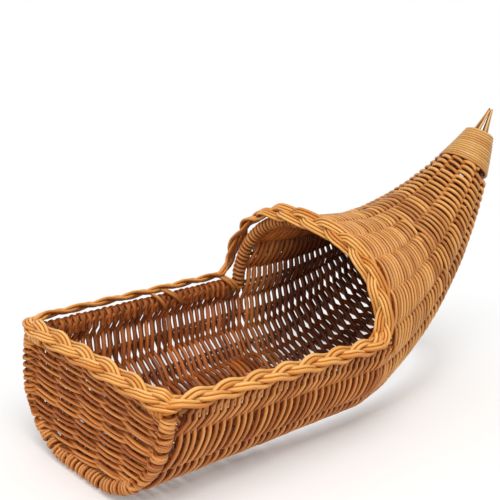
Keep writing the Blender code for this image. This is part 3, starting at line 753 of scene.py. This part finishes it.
PLAIT_COLOURS = ((0.73, 0.365, 0.085), (0.54, 0.185, 0.023))
PLAIT_SHADE = ((0.27, 0.075, 0.014), (0.55, 0.20, 0.045))
plaited_willow = willow("plaited_willow_grained", *PLAIT_COLOURS, 0.38, streak=0.34, inner=PLAIT_SHADE,
                        grooves=0.6)
LEG_REACH, LEG_RISE, LEG_STEP = 0.0105, Vector((0, 0, 0.0016)), 0.02
BAR_START, BAR_END = END_WIDTH / 2 - 0.006, END_WIDTH / 2 - 0.021
for side, label in ((-1, "near"), (1, "far")):
    down = [LEG_TOP + LEG_STEP * i for i in range(40)]
    angles = [-angle if side > 0 else angle - math.pi for angle in down]
    leg = [panel_point(angle, TUBE_RADIUS, TUBE_RADIUS) for angle in angles]
    leg = [point for point in leg if point.z > END_ROD_HEIGHT - LEG_REACH]
    leg.insert(0, leg[0] + LEG_RISE)
    turns = coil(leg, WRAP_RADIUS, 0.0028, 0.0026, start=0.6, seed=side + 30, slack=0.0005)
    bar = [Vector((TUBE_RADIUS, side * mix(BAR_START, BAR_END, i / 8), END_ROD_HEIGHT)) for i in range(9)]
    round_bar = coil(bar, WRAP_RADIUS + 0.0002, 0.0034, 0.0029, start=0.3, seed=side + 40, slack=0.0006,
                     hand=side)
    woven(f"corner_turns_{label}", [turns, round_bar], plaited_willow,
          [f"corner_binding_{label}"], waver=0.0006)
BAR_COLOURS = ((0.66, 0.33, 0.09), (0.42, 0.17, 0.04))
dress(["end_top_rod"], willow("bar_willow_grained", *BAR_COLOURS, 0.42, wound=False))


# Plaited border: a flat plait of three willow strands, once round the opening, laid on the rims, the bar
# and the arch. A strand has two rods along the near rim and three elsewhere, and a few rod ends on the
# far side are tucked over the rim into the wall.

PLAIT_THICKNESS = 0.0065
RIM_ROLL, ARCH_ROLL, FAR_FOOT_ROLL = math.radians(60), math.radians(60), math.radians(0)
PLAIT_TURN, PLAIT_TUCK = 0.012, 0.0035
PLAIT_SEAT = TUBE_RADIUS + GAP + PLAIT_THICKNESS / 2
PLAIT_LIFT = 0.0024
PLAIT_SHARPNESS = 0.6


def arch_seats():
    edge = math.asin(min(1.0, (2 * PLAIT_TURN / ARCH_RISE) ** (ARCH_POWER / 2)))
    seats = []
    for i in range(21):
        angle = mix(math.pi - edge, edge, i / 20)
        middle = horn_skin(HOOP_SHARE, angle, TUBE_RADIUS)
        out = (horn_skin(HOOP_SHARE, angle) - middle).normalized()
        roll = mix(ARCH_ROLL, FAR_FOOT_ROLL, ease((i - 9) / 9))
        facing = out * math.cos(roll) + Vector((-1, 0, 0)) * math.sin(roll)
        stand_off = 0.0025 * ease((i - 12) / 6)
        seats.append((middle + (PLAIT_SEAT + stand_off) * facing, facing))
    return seats


def rim_seats(side):
    facing = Vector((0, side * math.cos(RIM_ROLL), math.sin(RIM_ROLL)))
    ends = (TUBE_RADIUS + PLAIT_TURN, TROUGH_LENGTH - PLAIT_TURN)
    return [(rim_line(side, mix(*ends, i / 6)) + PLAIT_SEAT * facing, facing) for i in range(7)]


def end_seats():
    facing = Vector((-math.cos(RIM_ROLL), 0, math.sin(RIM_ROLL)))
    reach = END_WIDTH / 2 - TUBE_RADIUS - PLAIT_TURN
    middle = Vector((TUBE_RADIUS, 0, END_ROD_HEIGHT)) + PLAIT_SEAT * facing
    return [(middle + Vector((0, mix(reach, -reach, i / 6), 0)), facing) for i in range(7)]


def corner_seats(first, last, steps=6, pull_share=0.4):
    start, end = first[-1][0], last[0][0]
    pull = (end - start).length * pull_share
    out = start + pull * (start - first[-2][0]).normalized()
    back = end - pull * (last[1][0] - end).normalized()
    seats = []
    for i in range(1, steps):
        share = i / steps
        left = 1 - share
        place = left**3 * start + 3 * left**2 * share * out + 3 * left * share**2 * back + share**3 * end
        seats.append((place, mix(first[-1][1], last[0][1], share).normalized()))
    return seats


def braid(seats, bumps, rod, members, swing, hand, flatten=None):
    """Three strands of some rods each, plaited along a line of seats. The ends are tucked under."""
    runs = [0.0]
    for here, there in zip(seats, seats[1:]):
        runs.append(runs[-1] + (there[0] - here[0]).length)
    whole = runs[-1]
    period = 3 * whole / bumps
    steps = round(whole / 0.0013)
    rods = []
    for strand in range(3):
        for member in range(members):
            beside = (member - (members - 1) / 2) * rod
            points, i = [], 0
            for step in range(steps + 1):
                wanted = whole * step / steps
                while i < len(seats) - 2 and runs[i + 1] < wanted:
                    i += 1
                part = (wanted - runs[i]) / (runs[i + 1] - runs[i])
                facing = mix(seats[i][1], seats[i + 1][1], part).normalized()
                before, after = seats[max(i - 1, 0)][0], seats[min(i + 2, len(seats) - 1)][0]
                heading = mix(seats[i + 1][0] - before, after - seats[i][0], part).normalized()
                across = heading.cross(facing).normalized()
                turn = 2 * math.pi * (wanted / period + strand / 3)
                wave = math.sin(turn)
                steep = math.hypot(wave, PLAIT_SHARPNESS)
                slope = 2 * math.pi / period * math.cos(turn) * PLAIT_SHARPNESS**2 / steep**3 * swing
                square = (across - heading * slope).normalized()
                lift = hand * PLAIT_LIFT * math.sin(2 * turn) * (flatten(wanted / whole) if flatten else 1)
                tuck = PLAIT_TUCK * (1 - ease(min(wanted, whole - wanted) / 0.010))
                place = mix(seats[i][0], seats[i + 1][0], part) + facing * (lift - tuck)
                place += across * swing * math.hypot(1, PLAIT_SHARPNESS) * wave / steep + square * beside
                girth = rod / 2 * ease(0.4 + min(wanted, whole - wanted) / 0.004)
                points.append((place, girth, 0.0, place - facing))
            rods.append(points)
    return rods


def tucked_end(side, x, reach, rod=0.0027):
    """The end of a rod that leaves the plait, crosses the rim and goes down into the wall."""
    points = []
    for i in range(15):
        share = i / 14
        angle = math.radians(mix(58, 218, share))
        centre = rim_line(side, x + reach * share)
        stand_off = mix(PLAIT_SEAT, TUBE_RADIUS + rod / 2, ease(share * 2.5))
        place = centre + stand_off * Vector((0, side * math.cos(angle), math.sin(angle)))
        # Going down into the wall, the rod end takes painted shade.
        points.append((place, rod / 2, ease(0.2 + share), centre))
    return points


near, far, arch, end = rim_seats(-1), rim_seats(1)[::-1], arch_seats(), end_seats()
near_line = corner_seats(end, near)[1:] + near + corner_seats(near, arch)[:-1]
long_line = corner_seats(near, arch) + arch + corner_seats(arch, far) + far + corner_seats(far, end) + end
long_line += corner_seats(end, near)[:-1]
TUCKED = ((0.105, 0.013), (0.1155, 0.0195), (0.118, 0.0195), (0.176, 0.015), (0.180, 0.015))


def far_foot_flatter(share):
    """The plait lies flatter where it comes down from the arch to the far rim."""
    return 1 - 0.4 * ease(6 - abs(share - 0.56) * 26)


border = braid(near_line, bumps=8, rod=0.0029, members=2, swing=0.0032, hand=1)
border += braid(long_line, bumps=23, rod=0.0023, members=3, swing=0.0036, hand=-1, flatten=far_foot_flatter)
border += [tucked_end(1, x, reach) for x, reach in TUCKED]
woven("plaited_border", border, plaited_willow, ["braided_border"], waver=0.0006)


# Stakes that run out at the tip: 6 of the 18, one in three, go on past the others and are drawn together
# to a thin bundle. Inside the weave they take the stakes' stain with painted shade; past the binding they
# are peeled and bare.

STAKE, STAKE_INSET, BOUND_INSET = 0.0030, 0.0051, 0.0062
TIP_CANE, TIP_LENGTH = 0.0017, 0.0227
TIP_COLOURS = ((0.74, 0.46, 0.18), (0.48, 0.24, 0.07))
tip_willow = willow("tip_willow_grained", *TIP_COLOURS, 0.4, streak=0.3, inner=STAKE_STAIN_AND_SHADE[::-1])


def tip_stake(line, trim):
    """A stake from the wall's start to its thin end, which is cut short by a share of its reach."""
    rod = []
    for step in range(61):
        reach = mix(-1.0 if line < FAR_LINE else WALL_START + 0.002, 1.0, step / 60)
        inset = mix(STAKE_INSET, BOUND_INSET, ease((reach - BINDING_SHARE) / (1 - BINDING_SHARE)))
        place = wall_point(reach, line, inset)
        # Inside the weave the stake takes painted shade.
        rod.append((place, STAKE / 2, 1.0, place + Vector((0, 0, 1))))
    top, slope = spine(1)
    heading = Vector((math.cos(slope), 0, math.sin(slope)))
    out = rod[-1][0] - top
    for step in range(1, 13):
        share = step / 12 * (1 - trim)
        heart = top + heading * TIP_LENGTH * share
        place = heart + out.normalized() * mix(out.length, TIP_CANE * 0.7, share**0.8)
        rod.append((place, mix(STAKE, TIP_CANE, share**0.6) / 2 * 0.92, 0.0, heart))
    return rod


OUT_AT_TIP = {2: "trough_stake_02", 5: "trough_stake_05", 8: "trough_stake_08",
              11: "arch_stake_02", 14: "arch_stake_05", 17: "arch_stake_08"}
TRIMS = (0.0, 0.10, 0.04)
ends = [tip_stake(line, TRIMS[line // 3 % 3]) for line in OUT_AT_TIP]
woven("tip_stakes", ends, tip_willow, OUT_AT_TIP.values(), sides=9, waver=0.0003)


# Binding of the tip: one long fine pale cane, wound closely over the gathered stakes, whose thin ends
# stick out past it.

BINDING_COLOURS = ((0.74, 0.45, 0.140), (0.46, 0.20, 0.045))
binding_cane = willow("binding_cane_grained", *BINDING_COLOURS, 0.34, streak=0.24, across=0.35, grooves=0.9)
BINDING_CANE, BINDING_TURNS, TURN_POINTS = 0.0025, 14, 28
binding = []
for i in range(BINDING_TURNS * TURN_POINTS + 1):
    share = mix(BINDING_SHARE + 0.004, 0.998, i / (BINDING_TURNS * TURN_POINTS))
    place = horn_skin(share, 2 * math.pi * i / TURN_POINTS, BINDING_CANE / 2)
    binding.append((place, BINDING_CANE / 2, 0.0, spine(share)[0]))
woven("tip_turns", [binding], binding_cane, ["tip_binding"], sides=10)


# Camera, lamps and floor: the basket stands on a white sweep under a broad soft light.

def look(azimuth, elevation, roll):
    """The camera's right, up and back for its turns in degrees."""
    turn, tip, lean = (math.radians(value) for value in (azimuth, elevation, roll))
    back = Vector((math.sin(turn) * math.cos(tip), -math.cos(turn) * math.cos(tip), math.sin(tip)))
    right = Vector((0, 0, 1)).cross(back).normalized()
    up = back.cross(right)
    return (
        right * math.cos(lean) + up * math.sin(lean),
        up * math.cos(lean) - right * math.sin(lean),
        back,
    )


AIM = Vector((0.132 + SHIFT, 0, 0.126))
DISTANCE, FOCAL_PIXELS = 0.675, 994.15
right, up, back = look(-46.027, 18.484, 4.707)
lens = bpy.data.cameras.new("photograph")
lens.sensor_width = 36.0
lens.lens = 36.0 * FOCAL_PIXELS / 500
camera = bpy.data.objects.new("photograph", lens)
place = AIM + back * DISTANCE
camera.matrix_world = Matrix.Translation(place) @ Matrix((right, up, back)).transposed().to_4x4()
bpy.context.scene.collection.objects.link(camera)
bpy.context.scene.camera = camera

floor_mesh = bpy.data.meshes.new("floor")
floor_mesh.from_pydata([(-15, -15, 0), (15, -15, 0), (15, 15, 0), (-15, 15, 0)], [], [(0, 1, 2, 3)])
floor = bpy.data.objects.new("floor", floor_mesh)
bpy.context.scene.collection.objects.link(floor)
paper = bpy.data.materials.new("white_sweep")
paper.use_nodes = True
sheen = paper.node_tree.nodes["Principled BSDF"]
sheen.inputs["Base Color"].default_value = (0.86, 0.85, 0.84, 1.0)
sheen.inputs["Roughness"].default_value = 1.0
sheen.inputs["Specular IOR Level"].default_value = 0.0
first = Socket(paper.node_tree, sheen.outputs[0])
seen = first.node("ShaderNodeLightPath", None, None, out=0)
glossy = first.node("ShaderNodeLightPath", None, None, out=3)
clear = first.node("ShaderNodeLightPath", None, None, out=6)
glow = first.node("ShaderNodeEmission", None, {"Color": (1, 1, 1, 1), "Strength": 1.0})
# Painted light on the floor: for camera, glossy and transmission rays it glows white away from the basket
# and fades to its true shading near the base. The middle of the fade is set towards the near side and the
# end panel, so the shadow behind and beside the tip is washed out. Under the basket it glows again, so the
# floor seen through the weave looks lit.
spot = first.node("ShaderNodeTexCoord", None, None, out=3)
in_front = {"Vector": spot, "Location": (0.5, 0.6, 0.0), "Scale": (4.0, 8.0, 1.0)}
before = spot.node("ShaderNodeMapping", None, in_front)
away = before.node("ShaderNodeVectorMath", {"operation": "LENGTH"}, {0: before}, out=1)
outwards = {"Value": away, "From Min": 0.9, "From Max": 2.0, "To Min": 0.1}
fade = away.node("ShaderNodeMapRange", None, outwards)
beneath = spot.node("ShaderNodeMapping", None, {"Vector": spot, "Scale": (5.5, 17.0, 1.0)})
under = beneath.node("ShaderNodeVectorMath", {"operation": "LENGTH"}, {0: beneath}, out=1)
inwards = {"Value": under, "From Min": 1.0, "From Max": 0.7, "To Max": 0.8}
fade = fade.sum("MAXIMUM", fade, under.node("ShaderNodeMapRange", None, inwards))
blend = first.node("ShaderNodeMixShader", None, {0: (seen + glossy + clear) * fade, 1: first, 2: glow})
paper.node_tree.links.new(blend.out, paper.node_tree.nodes["Material Output"].inputs["Surface"])
floor_mesh.materials.append(paper)

world = bpy.data.worlds.new("studio")
bpy.context.scene.world = world
world.use_nodes = True
sky = world.node_tree.nodes["Background"]
start = Socket(world.node_tree, sky.outputs[0])
seen = start.node("ShaderNodeLightPath", None, None, out=0)
glossy = start.node("ShaderNodeLightPath", None, None, out=3)
clear = start.node("ShaderNodeLightPath", None, None, out=6)
white = start.node("ShaderNodeBackground", None, {"Color": (1, 1, 1, 1), "Strength": 1.0})
sky.inputs["Color"].default_value = (1.0, 0.99, 0.975, 1.0)
sky.inputs["Strength"].default_value = 0.74
blend = start.node("ShaderNodeMixShader", None, {0: seen + glossy + clear, 1: start, 2: white})
world.node_tree.links.new(blend.out, world.node_tree.nodes["World Output"].inputs["Surface"])


def lamp(name, azimuth, elevation, distance, size, power):
    """A square soft lamp that faces the basket."""
    light = bpy.data.lights.new(name, "AREA")
    light.shape, light.size, light.energy = "SQUARE", size, power
    thing = bpy.data.objects.new(name, light)
    turned = Matrix(look(azimuth, elevation, 0)).transposed()
    place = Vector((0, 0, 0.06)) + turned.col[2] * distance
    thing.matrix_world = Matrix.Translation(place) @ turned.to_4x4()
    bpy.context.scene.collection.objects.link(thing)


lamp("overhead", azimuth=-42, elevation=66, distance=1.6, size=1.0, power=15.0)
lamp("front", azimuth=-70, elevation=28, distance=1.8, size=0.5, power=5.0)

scene = bpy.context.scene
scene.view_settings.view_transform = "Standard"
